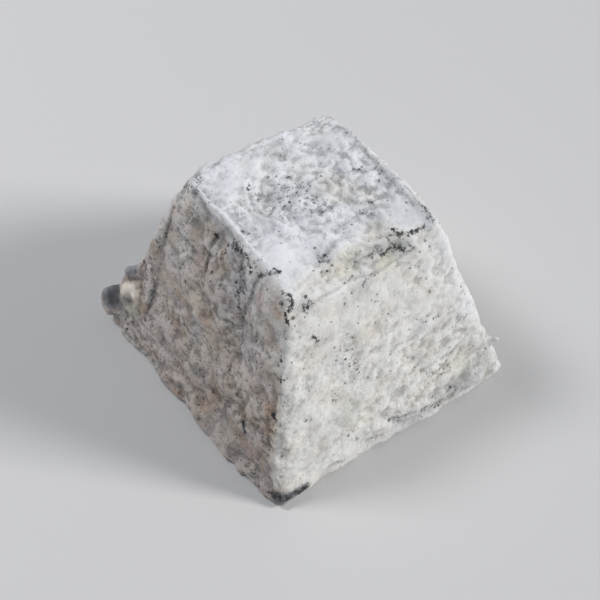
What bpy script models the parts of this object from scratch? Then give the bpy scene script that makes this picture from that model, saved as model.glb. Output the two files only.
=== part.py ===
# A pyramid goat cheese: a square pyramid with its top cut off, in a wrinkled,
# ash-dusted rind. It is one solid. The body came out of a square mould, and the
# soft curd has sagged a little: its edges are rounded, its faces undulate, the
# upper front edge is pressed to a slanting band, the foot is wavy, and curd has
# squeezed out at two corners of the base.
#
# Units are metres unless a name says MM, and +Z is up. The origin is the middle
# of the flat underside. The front face looks along -Y, and the left face along -X.
import math

import bmesh
import bpy
from mathutils import Matrix, Vector, noise

MM = 0.001

# Driving dimensions of the moulded body
HEIGHT = 55.4 * MM
BASE_HALF = 37.9 * MM
TOP_HALF = 22.3 * MM
SLANT = math.hypot(HEIGHT, BASE_HALF - TOP_HALF)

# How round its edges are
CORNER_EDGE_RADIUS = 2.6 * MM
TOP_EDGE_RADIUS = 3.0 * MM
FOOT_RADIUS = 1.6 * MM

# How far each corner has sagged from a true pyramid, in millimetres along X and Y.
# The keys are the corner's side along X, along Y and along Z.
CORNER_SHIFTS_MM = {
    (-1, -1, -1): (1.0, -0.7),
    (-1, 1, -1): (-0.1, 0.1),
    (1, -1, -1): (0.0, -0.2),
    (1, 1, -1): (-0.6, 0.2),
    (-1, -1, 1): (-0.5, 0.0),
    (-1, 1, 1): (1.0, 0.9),
    (1, -1, 1): (-0.3, -0.7),
    (1, 1, 1): (-0.9, 0.2),
}

# The grid that carries the relief
GRID_CELLS = 28
GRID_CROWDING = 0.2
FLAT_TOLERANCE = 0.001 * MM

# The slanting band along the upper front edge: how far the top is cut back along
# the band, from its left end to its right end, and where its lower edge lies
BAND_CREST_MM = ((-20.0, 2.0), (-12.0, 4.2), (-3.0, 5.6), (6.0, 4.8), (13.0, 1.8), (20.0, 0.4))
BAND_FOOT_UP_MM = 52.6
BAND_SOFTNESS = 1.0 * MM

# Uneven surface of the soft curd: the size and the height of each layer of bumps
BUMP_LAYERS_MM = ((27.0, 0.50), (11.0, 0.42), (6.0, 0.42), (4.3, 0.26))
BUMP_SEED = Vector((3.7, 11.2, 7.9))
LEFT_FACE_COARSENESS = 1.25

# How far the foot stands out from the straight base edge, in millimetres, at
# places along the edge, left to right as each face is looked at
FOOT_WAVES_MM = {
    "left": ((-36.0, -0.9), (-32.0, -0.1), (-28.0, 1.2), (-22.5, 0.8), (-19.0, -0.1),
             (-15.5, 0.1), (-10.0, 0.0), (-3.0, 1.3),
             (7.0, 1.7), (18.5, 1.9), (23.0, 0.3), (29.0, 0.3), (36.0, -0.6)),
    "front": ((-36.0, 1.0), (-28.0, 0.6), (-20.0, -0.7), (-9.0, -0.8), (4.0, 0.3), (14.0, 0.7),
              (26.0, 0.8), (36.0, 0.2)),
    "right": ((-36.0, 0.2), (-25.0, 0.8), (-12.0, -0.3), (2.0, 0.7), (15.0, 0.1), (26.0, 0.9),
              (36.0, 0.0)),
    "back": ((-36.0, 0.0), (-24.0, 0.7), (-13.0, 0.2), (-1.0, 0.8), (12.0, -0.3), (25.0, 0.6),
             (36.0, 0.0)),
}
FOOT_WAVE_RISE = 7.0 * MM


def left_face(along, up):
    """A point of the left face: along from back to front, up the slope, in mm."""
    inset = (BASE_HALF - TOP_HALF) * up * MM / SLANT
    return Vector((inset - BASE_HALF, -along * MM, HEIGHT * up * MM / SLANT))


def front_face(along, up):
    """A point of the front face: along from left to right, up the slope, in mm."""
    inset = (BASE_HALF - TOP_HALF) * up * MM / SLANT
    return Vector((along * MM, inset - BASE_HALF, HEIGHT * up * MM / SLANT))


def right_face(along, up):
    """A point of the right face: along from front to back, up the slope, in mm."""
    turned = front_face(along, up)
    return Vector((-turned.y, turned.x, turned.z))


def back_face(along, up):
    """A point of the back face: along from right to left, up the slope, in mm."""
    turned = front_face(along, up)
    return Vector((-turned.x, -turned.y, turned.z))


def top_face(x, y):
    """A point of the top face, in mm."""
    return Vector((x * MM, y * MM, HEIGHT))


# Creases and folds: a line over the surface, its half width, and its height,
# which is below nought for a crease and above it for a fold, in millimetres
CREASES_AND_FOLDS = (
    # The long crease of the left face, round the swollen lobe and down the face
    ([left_face(16.5, 56.5), left_face(10.4, 55.0), left_face(9.2, 50.5), left_face(10.2, 38.0),
      left_face(9.8, 28.0), left_face(11.3, 18.0)], 1.3, -0.55),
    # A notch under the rim, and the crease that runs down from it
    ([left_face(-6.7, 53.5), left_face(-6.5, 42.6)], 1.1, -0.5),
    # Creases beside the back edge of the left face
    ([left_face(-23.1, 49.4), left_face(-23.2, 37.0)], 1.2, -0.6),
    ([left_face(-22.9, 31.0), left_face(-22.8, 18.0), left_face(-23.6, 13.0)], 1.2, -0.7),
    # The fold that the band's lower edge makes in the front face
    ([front_face(-18.0, 53.0), front_face(-7.6, 52.6), front_face(1.0, 52.2),
      front_face(12.0, 53.2)], 1.0, -0.35),
    # A crease over the foot of the front face
    ([front_face(2.0, 4.6), front_face(10.0, 3.4), front_face(19.0, 3.9)], 1.2, -0.45),
    # The raised lip along the left rim of the top
    ([top_face(-20.0, 20.5), top_face(-20.6, 15.0), top_face(-20.4, 5.0),
      top_face(-20.8, -9.0)], 1.2, 0.4),
    # Soft folds across the left of the top
    ([top_face(-17.2, 12.8), top_face(-14.8, 6.9), top_face(-12.0, 1.5),
      top_face(-11.0, -3.2)], 1.5, 0.35),
    ([top_face(-9.0, -6.0), top_face(-3.5, -9.0), top_face(2.5, -15.0)], 1.6, 0.3),
    # Creases of the two faces at the back
    ([right_face(-14.0, 46.0), right_face(-11.0, 30.0), right_face(-13.5, 17.0)], 1.3, -0.5),
    ([right_face(9.0, 52.0), right_face(12.5, 38.0)], 1.2, -0.45),
    ([right_face(4.0, 5.0), right_face(16.0, 3.6)], 1.2, -0.45),
    ([back_face(-16.0, 50.0), back_face(-19.0, 33.0)], 1.2, -0.55),
    ([back_face(7.0, 42.0), back_face(4.0, 27.0), back_face(7.5, 13.0)], 1.3, -0.5),
)

# Swellings and hollows: the middle, the radius and the height, in millimetres
SWELLINGS = (
    (left_face(15.0, 52.5), 5.2, 0.9),
    (left_face(22.0, 30.0), 8.0, 0.5),
    (left_face(-12.0, 25.0), 10.0, 0.5),
    (front_face(-29.5, 2.6), 3.2, -0.5),
    (front_face(9.0, 27.0), 15.0, 0.4),
    (front_face(26.0, 6.0), 7.0, 0.4),
    (top_face(-13.0, 15.5), 4.5, 0.4),
    (top_face(-15.0, -9.5), 5.0, 0.4),
    (top_face(13.5, -15.5), 4.5, 0.4),
    (top_face(3.0, 4.0), 9.0, -0.4),
    (top_face(-2.0, 23.0), 17.0, 1.2),
    (top_face(22.0, -3.0), 17.0, 1.4),
    (front_face(28.5, 39.0), 10.0, -1.3),
    (right_face(-18.0, 30.0), 10.0, 0.4),
    (right_face(17.0, 20.0), 9.0, -0.4),
    (back_face(14.0, 38.0), 10.0, 0.4),
    (back_face(-12.0, 16.0), 10.0, -0.4),
)

# Curd squeezed out at two corners of the base: the middle of each lump and its
# radii along X, Y and Z before it is turned to face out of its corner
LUMPS_MM = (
    ((-32.6, 32.6, 11.5), (2.6, 4.2, 8.0)),
    ((-32.0, 32.0, 19.6), (2.1, 1.9, 1.9)),
    ((-33.4, 31.4, 12.9), (2.9, 2.8, 2.7)),
    ((-35.0, 32.4, 5.6), (2.8, 2.4, 2.8)),
    ((-35.3, 29.2, 6.2), (2.4, 2.4, 2.4)),
    ((33.1, -33.1, 11.8), (2.7, 1.4, 1.8)),
    ((34.9, -34.9, 12.7), (1.4, 0.9, 1.0)),
)
LUMP_SUBDIVISIONS = 2
LUMP_UNEVENNESS = 0.16
LUMP_BUMPS_PER_RADIUS = 1.3

# The torn fin of curd that stands out of the left corner. Its corners are given as
# the distance out from the middle of the cheese, the half thickness, and the height.
FIN_CORNERS_MM = (
    (45.5, 2.4, 13.0),
    (50.0, 1.6, 12.4),
    (53.2, 0.6, 11.0),
    (53.7, 0.8, 8.4),
    (53.4, 1.6, 5.0),
    (51.0, 2.6, 2.4),
    (45.5, 3.0, 2.4),
)
FIN_TURN = math.radians(135.0)
FIN_MIDDLE_MM = (-35.2, 35.2, 8.5)
FIN_CUTS = 2
FIN_UNEVENNESS = 0.35

# How the lumps melt into the body: how far from a lump's middle the mesh is
# welded and smoothed, how close points are welded, and how strongly it is smoothed
SEAM_REACH_MM = 4.5
SEAM_WELD_MM = 0.25
SEAM_SMOOTHING = 0.5


def between(first, second, share):
    return first + (second - first) * share


def eased(share):
    """A share from nought to one that starts and ends softly."""
    return share * share * (3.0 - 2.0 * share)


def along_stations(stations, place):
    """The value at a place between stations, each a place and its value, in mm."""
    if place <= stations[0][0]:
        return stations[0][1]
    for (start, value), (end, next_value) in zip(stations, stations[1:]):
        if place <= end:
            return between(value, next_value, eased((place - start) / (end - start)))
    return stations[-1][1]


def clear_scene():
    for thing in list(bpy.data.objects):
        bpy.data.objects.remove(thing, do_unlink=True)


def rounded_box_point(u, v, w):
    """Moves a point of the cube from -1 to 1 onto the body with round edges.

    The return value has the shares of the half width along X and Y, and the height.
    """
    level = (w + 1.0) / 2.0
    half = between(BASE_HALF, TOP_HALF, level)
    point = Vector((u * half, v * half, level * HEIGHT))
    reach = half - CORNER_EDGE_RADIUS
    core = Vector((
        max(-reach, min(reach, point.x)),
        max(-reach, min(reach, point.y)),
        max(FOOT_RADIUS, min(HEIGHT - TOP_EDGE_RADIUS, point.z)),
    ))
    end_radius = TOP_EDGE_RADIUS if w > 0.0 else FOOT_RADIUS
    radii = Vector((CORNER_EDGE_RADIUS, CORNER_EDGE_RADIUS, end_radius))
    offset = Vector([gap / radius for gap, radius in zip(point - core, radii)])
    if offset.length > 0.0:
        offset.normalize()
        point = core + Vector([share * radius for share, radius in zip(offset, radii)])
    return point.x / half, point.y / half, point.z


def sagged_point(u, v, height):
    """Places the shares u and v at a height between the eight sagged corners."""
    level = height / HEIGHT
    place = Vector((0.0, 0.0, height))
    for (side_x, side_y, side_z), shift in CORNER_SHIFTS_MM.items():
        half = BASE_HALF if side_z < 0 else TOP_HALF
        share = (1.0 + side_x * u) * (1.0 + side_y * v) / 4.0
        share *= 1.0 - level if side_z < 0 else level
        place.x += share * (side_x * half + shift[0] * MM)
        place.y += share * (side_y * half + shift[1] * MM)
    return place


def crowded(share):
    """Moves grid lines a little towards the edges, where the body turns."""
    return share + GRID_CROWDING * math.sin(math.pi * share) / math.pi


def moulded_body():
    """The smooth body: a gridded cube drawn in to a pyramid, with one flat underside."""
    body = bmesh.new()
    bmesh.ops.create_cube(body, size=2.0)
    bmesh.ops.subdivide_edges(body, edges=body.edges, cuts=GRID_CELLS - 1, use_grid_fill=True)
    for vert in body.verts:
        u, v, w = (crowded(share) for share in vert.co)
        vert.co = sagged_point(*rounded_box_point(u, v, w))
    underside = [
        face for face in body.faces
        if all(vert.co.z < FLAT_TOLERANCE for vert in face.verts)
    ]
    bmesh.ops.dissolve_faces(body, faces=underside)
    body.normal_update()
    return body


def press_band(body):
    """Presses the upper front edge flat, to a band that slants from the top to the front."""
    foot = front_face(0.0, BAND_FOOT_UP_MM)
    for vert in body.verts:
        cut_back = along_stations(BAND_CREST_MM, vert.co.x / MM) * MM
        crest = Vector((0.0, cut_back - TOP_HALF, HEIGHT))
        run = crest - Vector((0.0, foot.y, foot.z))
        facing = Vector((0.0, -run.z, run.y)).normalized()
        proud = (vert.co - crest).dot(facing)
        blend = max(0.0, 1.0 - abs(proud) / BAND_SOFTNESS)
        vert.co -= facing * (max(0.0, proud) + BAND_SOFTNESS * blend * blend / 4.0)


def foot_wave(point, normal):
    """How far the foot stands out at a point, as a level step outwards."""
    rise = math.exp(-((point.z / FOOT_WAVE_RISE) ** 2))
    x, y = point.x / MM, point.y / MM
    if normal.x < 0.0:
        out_x = -along_stations(FOOT_WAVES_MM["left"], -y)
    else:
        out_x = along_stations(FOOT_WAVES_MM["right"], y)
    if normal.y < 0.0:
        out_y = -along_stations(FOOT_WAVES_MM["front"], x)
    else:
        out_y = along_stations(FOOT_WAVES_MM["back"], -x)
    return Vector((out_x * normal.x ** 2, out_y * normal.y ** 2, 0.0)) * rise * MM


def bumps(point, normal):
    """The height of the uneven curd at a point."""
    height = 0.0
    for size, layer_height in BUMP_LAYERS_MM:
        height += layer_height * MM * noise.noise(point / (size * MM) + BUMP_SEED * size)
    facing_left = max(0.0, -normal.x)
    return height * between(1.0, LEFT_FACE_COARSENESS, facing_left)


def distance_to_line(point, line):
    """The distance from a point to a line through several points."""
    nearest = math.inf
    for start, end in zip(line, line[1:]):
        run = end - start
        share = max(0.0, min(1.0, (point - start).dot(run) / run.length_squared))
        nearest = min(nearest, (point - start - run * share).length)
    return nearest


def creases_and_swellings(point):
    """The height that the named creases, folds, swellings and hollows add at a point."""
    height = 0.0
    for line, half_width, line_height in CREASES_AND_FOLDS:
        share = distance_to_line(point, line) / (half_width * MM)
        height += line_height * MM * math.exp(-share * share)
    for middle, radius, spot_height in SWELLINGS:
        share = (point - middle).length / (radius * MM)
        height += spot_height * MM * math.exp(-share * share)
    return height


def raise_relief(body):
    """Moves each point above the underside in or out along its normal."""
    body.normal_update()
    moves = []
    for vert in body.verts:
        point, normal = vert.co.copy(), vert.normal.copy()
        outwards = Vector((normal.x, normal.y, max(0.0, normal.z)))
        height = bumps(point, normal) + creases_and_swellings(point)
        moves.append(outwards * height + foot_wave(point, normal))
    for vert, move in zip(body.verts, moves):
        vert.co += move


def new_object(name, mesh_source):
    mesh = bpy.data.meshes.new(name)
    mesh_source.to_mesh(mesh)
    mesh_source.free()
    made = bpy.data.objects.new(name, mesh)
    bpy.context.scene.collection.objects.link(made)
    return made


def curd_lump(index, middle, radii):
    """One uneven ball of curd, turned to face out of its corner."""
    lump = bmesh.new()
    bmesh.ops.create_icosphere(lump, subdivisions=LUMP_SUBDIVISIONS, radius=1.0)
    for vert in lump.verts:
        sample = vert.co * LUMP_BUMPS_PER_RADIUS + BUMP_SEED * (index + 1)
        vert.co *= 1.0 + LUMP_UNEVENNESS * noise.noise(sample)
    turn = Matrix.Rotation(math.atan2(middle[1], middle[0]), 4, "Z")
    size = Matrix.Diagonal((*radii, 1.0))
    place = Matrix.Translation(Vector(middle)) @ turn @ size
    bmesh.ops.transform(lump, matrix=Matrix.Scale(MM, 4) @ place, verts=lump.verts)
    bmesh.ops.recalc_face_normals(lump, faces=lump.faces)
    return new_object(f"lump_{index + 1}", lump)


def torn_fin():
    """The fin of the left corner: a thin wedge with worn corners and an uneven skin."""
    fin = bmesh.new()
    for out, half, up in FIN_CORNERS_MM:
        fin.verts.new((out, half, up))
        fin.verts.new((out, -half, up))
    bmesh.ops.convex_hull(fin, input=fin.verts)
    bmesh.ops.subdivide_edges(fin, edges=fin.edges, cuts=FIN_CUTS, use_grid_fill=True)
    bmesh.ops.smooth_vert(
        fin, verts=fin.verts, factor=SEAM_SMOOTHING,
        use_axis_x=True, use_axis_y=True, use_axis_z=True,
    )
    fin.normal_update()
    moves = [vert.normal * FIN_UNEVENNESS * noise.noise(vert.co + BUMP_SEED) for vert in fin.verts]
    for vert, move in zip(fin.verts, moves):
        vert.co += move
    turned = Matrix.Scale(MM, 4) @ Matrix.Rotation(FIN_TURN, 4, "Z")
    bmesh.ops.transform(fin, matrix=turned, verts=fin.verts)
    bmesh.ops.recalc_face_normals(fin, faces=fin.faces)
    return new_object("fin", fin)


def fuse(body, lumps):
    """Joins the lumps to the body with one boolean union, and removes the lumps."""
    group = bpy.data.collections.new("lumps")
    for lump in lumps:
        group.objects.link(lump)
    union = body.modifiers.new("fuse", "BOOLEAN")
    union.operation = "UNION"
    union.solver = "EXACT"
    union.operand_type = "COLLECTION"
    union.collection = group
    with bpy.context.temp_override(object=body, active_object=body):
        bpy.ops.object.modifier_apply(modifier=union.name)
    for lump in lumps:
        bpy.data.objects.remove(lump, do_unlink=True)
    bpy.data.collections.remove(group)


def soften_seams(body):
    """Melts the lumps into the body: welds and smooths the mesh around them."""
    mesh = bmesh.new()
    mesh.from_mesh(body.data)
    middles = [Vector(middle) * MM for middle, radii in LUMPS_MM] + [Vector(FIN_MIDDLE_MM) * MM]

    def near_lumps():
        return [
            vert for vert in mesh.verts
            if vert.co.z > SEAM_WELD_MM * MM
            and min((vert.co - middle).length for middle in middles) < SEAM_REACH_MM * MM
        ]

    bmesh.ops.remove_doubles(mesh, verts=near_lumps(), dist=SEAM_WELD_MM * MM)
    bmesh.ops.smooth_vert(
        mesh, verts=near_lumps(), factor=SEAM_SMOOTHING,
        use_axis_x=True, use_axis_y=True, use_axis_z=True,
    )
    mesh.to_mesh(body.data)
    mesh.free()


def rind_material():
    """A dry, matt rind: white mould over a thin dusting of ash."""
    material = bpy.data.materials.new("rind")
    material.use_nodes = True
    shader = material.node_tree.nodes["Principled BSDF"]
    shader.inputs["Base Color"].default_value = (0.56, 0.55, 0.53, 1.0)
    shader.inputs["Roughness"].default_value = 0.85
    shader.inputs["Metallic"].default_value = 0.0
    return material


def main():
    clear_scene()
    body = moulded_body()
    press_band(body)
    raise_relief(body)
    cheese = new_object("cheese", body)
    lumps = [curd_lump(index, middle, radii) for index, (middle, radii) in enumerate(LUMPS_MM)]
    fuse(cheese, lumps + [torn_fin()])
    soften_seams(cheese)
    cheese.data.materials.clear()
    cheese.data.materials.append(rind_material())
    cheese.data.shade_smooth()


if __name__ == "__main__":
    main()
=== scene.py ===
# %% [markdown]
# # A pyramid goat cheese
#
# A soft cheese, ladled into a square mould, turned out, dusted with ash and left to
# ripen. White mould grows over the ash and wrinkles as it grows, so the rind ends as
# pale, crumpled skin with dark specks where the ash still shows.
#
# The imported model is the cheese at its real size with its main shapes. This lesson
# lays the rind over it: wrinkles, folds, stains and ash. Everything is in metres.

import math

import bmesh
import bpy
import numpy as np
from mathutils import Matrix, Vector
from mathutils.bvhtree import BVHTree


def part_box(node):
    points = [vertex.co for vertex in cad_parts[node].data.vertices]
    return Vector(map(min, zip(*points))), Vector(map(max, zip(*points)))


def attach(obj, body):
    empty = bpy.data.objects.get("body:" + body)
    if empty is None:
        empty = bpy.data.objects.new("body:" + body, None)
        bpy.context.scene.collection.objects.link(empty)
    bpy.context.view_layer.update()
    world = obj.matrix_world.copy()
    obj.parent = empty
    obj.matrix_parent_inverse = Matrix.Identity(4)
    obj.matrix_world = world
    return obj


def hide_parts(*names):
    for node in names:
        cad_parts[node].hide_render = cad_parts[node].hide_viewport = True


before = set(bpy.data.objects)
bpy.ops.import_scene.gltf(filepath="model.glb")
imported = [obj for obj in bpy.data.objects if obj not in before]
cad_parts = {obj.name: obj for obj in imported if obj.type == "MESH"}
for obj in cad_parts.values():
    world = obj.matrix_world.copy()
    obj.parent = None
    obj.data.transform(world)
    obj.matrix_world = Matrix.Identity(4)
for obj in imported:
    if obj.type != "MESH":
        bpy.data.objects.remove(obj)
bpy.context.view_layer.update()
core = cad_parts["cheese"]
low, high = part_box("cheese")
MM = 0.001
print("the cheese is", [round(side / MM, 1) for side in high - low], "mm along X, Y and Z")

# %% [markdown]
# ## The camera
#
# The photograph looks down on one corner. Its view was found by fitting the eight
# corners of the cheese, so a pixel of the 600 by 600 picture and a point of the rind
# can be turned into each other. We keep the numbers that a photographer would name:
# how far round, how high, how far away, how tilted, and the lens.

# %% Set up the camera
PICTURE_SIZE = 600
SENSOR_WIDTH = 36.0
LENS = 92.43
VIEW_AZIMUTH = math.radians(-38.85)
VIEW_ELEVATION = math.radians(51.6)
VIEW_ROLL = math.radians(3.13)
VIEW_DISTANCE = 407.1 * MM
AIM = Vector((4.22, 7.59, 6.78)) * MM
NEAREST_SEEN = 10 * MM

camera_data = bpy.data.cameras.new("camera")
camera_data.lens = LENS
camera_data.sensor_width = SENSOR_WIDTH
camera_data.clip_start = NEAREST_SEEN
camera = bpy.data.objects.new("camera", camera_data)
bpy.context.scene.collection.objects.link(camera)
bpy.context.scene.camera = camera
turn = Matrix.Rotation(VIEW_AZIMUTH, 3, "Z") @ Matrix.Rotation(math.pi / 2 - VIEW_ELEVATION, 3, "X")
camera_turn = turn @ Matrix.Rotation(VIEW_ROLL, 3, "Z")
camera.rotation_euler = camera_turn.to_euler()
camera.location = AIM + camera_turn @ Vector((0.0, 0.0, VIEW_DISTANCE))
print("the camera stands at", [round(step / MM) for step in camera.location], "mm")

# %% [markdown]
# ## Floor and light
#
# A plain pale floor and soft lamps, as in a small studio. A slightly warm lamp from the
# right lights the front and grazes the top, a cool one fills the top from above, and the
# left face lies in their shade under a dim sky. The large lamp stands well off: its
# light is even over the cheese, and its bright patch of floor stays out of the picture.

# %% Floor
FLOOR_SIDE = 3.0
FLOOR_COLOUR = (0.62, 0.62, 0.62, 1.0)
FLOOR_ROUGHNESS = 0.9

floor_mesh = bmesh.new()
bmesh.ops.create_grid(floor_mesh, x_segments=1, y_segments=1, size=FLOOR_SIDE / 2)
floor_data = bpy.data.meshes.new("floor")
floor_mesh.to_mesh(floor_data)
floor_mesh.free()
floor = bpy.data.objects.new("floor", floor_data)
bpy.context.scene.collection.objects.link(floor)
floor_paint = bpy.data.materials.new("floor_paint")
floor_paint.use_nodes = True
floor_shader = floor_paint.node_tree.nodes["Principled BSDF"]
floor_shader.inputs["Base Color"].default_value = FLOOR_COLOUR
floor_shader.inputs["Roughness"].default_value = FLOOR_ROUGHNESS
floor_data.materials.append(floor_paint)
print("the floor is", FLOOR_SIDE, "m wide")

# %% Lamps
SKY_COLOUR = (0.86, 0.92, 1.0, 1.0)
SKY_STRENGTH = 0.24
MIDDLE = Vector((0.0, 0.0, high.z / 2))


def soft_lamp(name, towards, distance, side, power, colour):
    """A square lamp that shines on the cheese from the direction and distance given."""
    data = bpy.data.lights.new(name, "AREA")
    data.shape = "SQUARE"
    data.size = side
    data.energy = power
    data.color = colour
    lamp = bpy.data.objects.new(name, data)
    bpy.context.scene.collection.objects.link(lamp)
    direction = Vector(towards).normalized()
    lamp.location = MIDDLE + direction * distance
    lamp.rotation_euler = direction.to_track_quat("Z", "Y").to_euler()


soft_lamp("lamp_right", (0.68, -0.62, 0.52), distance=2.8, side=0.7, power=61.7,
          colour=(1.0, 0.98, 0.965))
soft_lamp("lamp_above", (-0.42, 0.50, 0.90), distance=0.9, side=0.25, power=3.8,
          colour=(0.98, 0.98, 1.0))
world = bpy.data.worlds.new("studio")
world.use_nodes = True
world.node_tree.nodes["Background"].inputs["Color"].default_value = SKY_COLOUR
world.node_tree.nodes["Background"].inputs["Strength"].default_value = SKY_STRENGTH
bpy.context.scene.world = world
bpy.context.scene.view_settings.view_transform = "Standard"
print("two lamps and a dim sky light the cheese")

# %% [markdown]
# ## The skin
#
# The rind is one closed skin. We copy the solid, merge its loose triangles, and remesh
# it with small even cells, because wrinkles need the same fineness everywhere. A voxel
# remesh does that in a second. The flat underside needs no cells at all, so its faces
# are dissolved, which leaves more of them for the sides.

# %% Copy and remesh the skin
MERGE_DISTANCE = 0.01 * MM
SKIN_CELL = 0.47 * MM
UNDERSIDE = 0.02 * MM

skin_data = core.data.copy()
skin_data.name = "rind"
skin = bpy.data.objects.new("rind", skin_data)
bpy.context.scene.collection.objects.link(skin)
shell = bmesh.new()
shell.from_mesh(skin_data)
bmesh.ops.remove_doubles(shell, verts=shell.verts, dist=MERGE_DISTANCE)
shell.to_mesh(skin_data)
shell.free()


def apply_modifier(piece, kind, **settings):
    """Adds a modifier, sets it and applies it at once."""
    modifier = piece.modifiers.new(kind.lower(), kind)
    for name, value in settings.items():
        setattr(modifier, name, value)
    with bpy.context.temp_override(object=piece, active_object=piece):
        bpy.ops.object.modifier_apply(modifier=modifier.name)


apply_modifier(skin, "REMESH", mode="VOXEL", voxel_size=SKIN_CELL, use_smooth_shade=True)
shell = bmesh.new()
shell.from_mesh(skin_data)
underside = [face for face in shell.faces if all(v.co.z < UNDERSIDE for v in face.verts)]
bmesh.ops.dissolve_faces(shell, faces=underside)
sole = max(shell.faces, key=lambda face: len(face.verts))
bmesh.ops.triangulate(shell, faces=[sole])
shell.to_mesh(skin_data)
shell.free()
print("the skin has", len(skin_data.vertices), "points")

# %% [markdown]
# ## Spreading values over the skin
#
# Folds, stains and ash all start as numbers on the skin's points. One tool serves them
# all: spreading, which moves each value a little towards its neighbours' mean. A few
# rounds blur away grain, many rounds leave only broad swells, and the difference of
# the two is a pattern of one chosen size.

# %% Neighbours and spreading
LONGEST_EDGE = 2.5 * SKIN_CELL


def points_of(data):
    flat = np.zeros(len(data.vertices) * 3)
    data.vertices.foreach_get("co", flat)
    return flat.reshape(-1, 3)


def normals_of(data):
    flat = np.zeros(len(data.vertices) * 3, np.float32)
    data.vertex_normals.foreach_get("vector", flat)
    return flat.reshape(-1, 3).astype(float)


points = points_of(skin_data)
count = len(points)
edge_ends = np.zeros(len(skin_data.edges) * 2, np.int32)
skin_data.edges.foreach_get("vertices", edge_ends)
edge_ends = edge_ends.reshape(-1, 2)
edge_lengths = np.linalg.norm(points[edge_ends[:, 0]] - points[edge_ends[:, 1]], axis=1)
first, second = edge_ends[edge_lengths < LONGEST_EDGE].T
degree = np.bincount(first, minlength=count) + np.bincount(second, minlength=count)


def neighbour_mean(values):
    total = np.bincount(first, weights=values[second], minlength=count)
    total += np.bincount(second, weights=values[first], minlength=count)
    return total / degree


def spread(values, size_mm):
    """Blurs values over the skin by about the size given."""
    rounds = max(1, round((2.0 * size_mm * MM / SKIN_CELL) ** 2))
    for _ in range(rounds):
        values = 0.5 * (values + neighbour_mean(values))
    return values


def blurred(size_mm):
    """The skin's points, moved to where the skin would lie if it were smoothed."""
    return np.stack([spread(points[:, axis], size_mm) for axis in range(3)], axis=1)


print("a point has", round(float(degree.mean()), 1), "neighbours on average")

# %% [markdown]
# ## Smoothing the facets
#
# The solid is made of flat facets, and a cheese has none. We smooth the skin until they
# are gone. The squeezed-out curd at the two corners is small and would melt away, so it
# is smoothed much less, and the flat underside isn't touched at all.

# %% Smooth the facets
FACET_BLUR_MM = 0.8
CURD_BLUR_MM = 0.2
CURD_PLACES_MM = ((-35.0, 35.0, 11.0, 8.0), (34.5, -34.5, 12.3, 4.0))

on_sole = points[:, 2] < UNDERSIDE
curd = np.zeros(count)
for x, y, z, radius in CURD_PLACES_MM:
    gap = np.linalg.norm(points / MM - (x, y, z), axis=1) / radius
    curd = np.maximum(curd, np.exp(-gap ** 4))
smooth = blurred(FACET_BLUR_MM)
points = np.where(on_sole[:, None], points, smooth + (blurred(CURD_BLUR_MM) - smooth) * curd[:, None])
points[:, 2] = np.maximum(points[:, 2], 0.0)
skin_data.vertices.foreach_set("co", points.ravel())
skin_data.update()
normals = normals_of(skin_data)
print("facets are blurred away over", FACET_BLUR_MM, "mm")

# %% [markdown]
# ## Pointing at the rind
#
# Marks on the two faces and the top that the photograph shows are named by their place
# in the picture. A ray from the camera through that pixel meets the skin at the mark's
# true place, so each mark still lies on the rind when it is seen from another side.

# %% Find the point behind a pixel
skin_tree = BVHTree.FromObject(skin, bpy.context.evaluated_depsgraph_get())
PIXELS_PER_FOCUS = LENS / SENSOR_WIDTH * PICTURE_SIZE


def seen_at(across, down):
    """The point of the skin that the picture shows at a pixel."""
    ray = Vector((across - PICTURE_SIZE / 2, PICTURE_SIZE / 2 - down, -PIXELS_PER_FOCUS))
    hit = skin_tree.ray_cast(camera.location, (camera_turn @ ray).normalized())[0]
    if hit is None:
        raise ValueError(f"pixel {across}, {down} looks past the cheese")
    return hit


def near_spot(middle, radius_mm, firmness=2.0):
    """A mask: one at the middle and fading at the radius, the faster the firmer it is."""
    gap = np.linalg.norm(points - np.array(middle), axis=1) / (radius_mm * MM)
    return np.exp(-gap ** firmness)


def near_line(line, radius_mm):
    """A soft mask along a line through several points."""
    nearest = np.full(count, np.inf)
    for start, end in zip(line, line[1:]):
        start, run = np.array(start), np.array(end - start)
        share = np.clip((points - start) @ run / (run @ run), 0.0, 1.0)
        gap = np.linalg.norm(points - start - share[:, None] * run, axis=1)
        nearest = np.minimum(nearest, gap)
    gap = nearest / (radius_mm * MM)
    return np.exp(-gap * gap)


def drawn(pixels):
    return [seen_at(across, down) for across, down in pixels]


print("the picture's middle shows", [round(step / MM) for step in seen_at(300, 300)], "mm")

# %% [markdown]
# ## Which face is which
#
# The left face has ripened further than the others: its hollows are deeper and its
# colour is a pinkish grey. The two far faces aren't in the photograph, so they get the
# front's skin with some riper patches. Soft masks from the skin's own direction tell the
# faces apart, and spreading them makes the change gradual.

# %% Masks of the faces
FACE_BLUR_MM = 1.2


def facing(share, steepness, start):
    """A soft mask of the skin that faces one way, from its share of that direction."""
    return spread(np.clip(share * steepness - start, 0.0, 1.0), FACE_BLUR_MM)


on_left = facing(-normals[:, 0], steepness=1.6, start=0.45)
on_front = facing(-normals[:, 1], steepness=1.6, start=0.45)
on_top = facing(normals[:, 2], steepness=1.8, start=0.75)
on_hidden = np.clip(1.0 - on_left - on_front - on_top, 0.0, 1.0)
on_hidden[on_sole] = 0.0
masks = (on_left, on_front, on_top, on_hidden)
print("shares of the skin:", [round(float(mask.mean()), 2) for mask in masks])

# %% [markdown]
# ## Wrinkles
#
# A mould rind wrinkles because the skin grows and the curd under it doesn't. Growing
# skin on a soft bed folds into worm-like ridges of one width. The same pattern comes
# from noise that is blurred twice, subtracted and squeezed again and again: what has
# the right width grows, and the rest dies out. We make a fine and a coarse pattern, and
# slow patches choose between them. This rind is more cushioned than lined, so soft
# hollows of several sizes are added, with the smallest ones left out on the left face.

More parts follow.
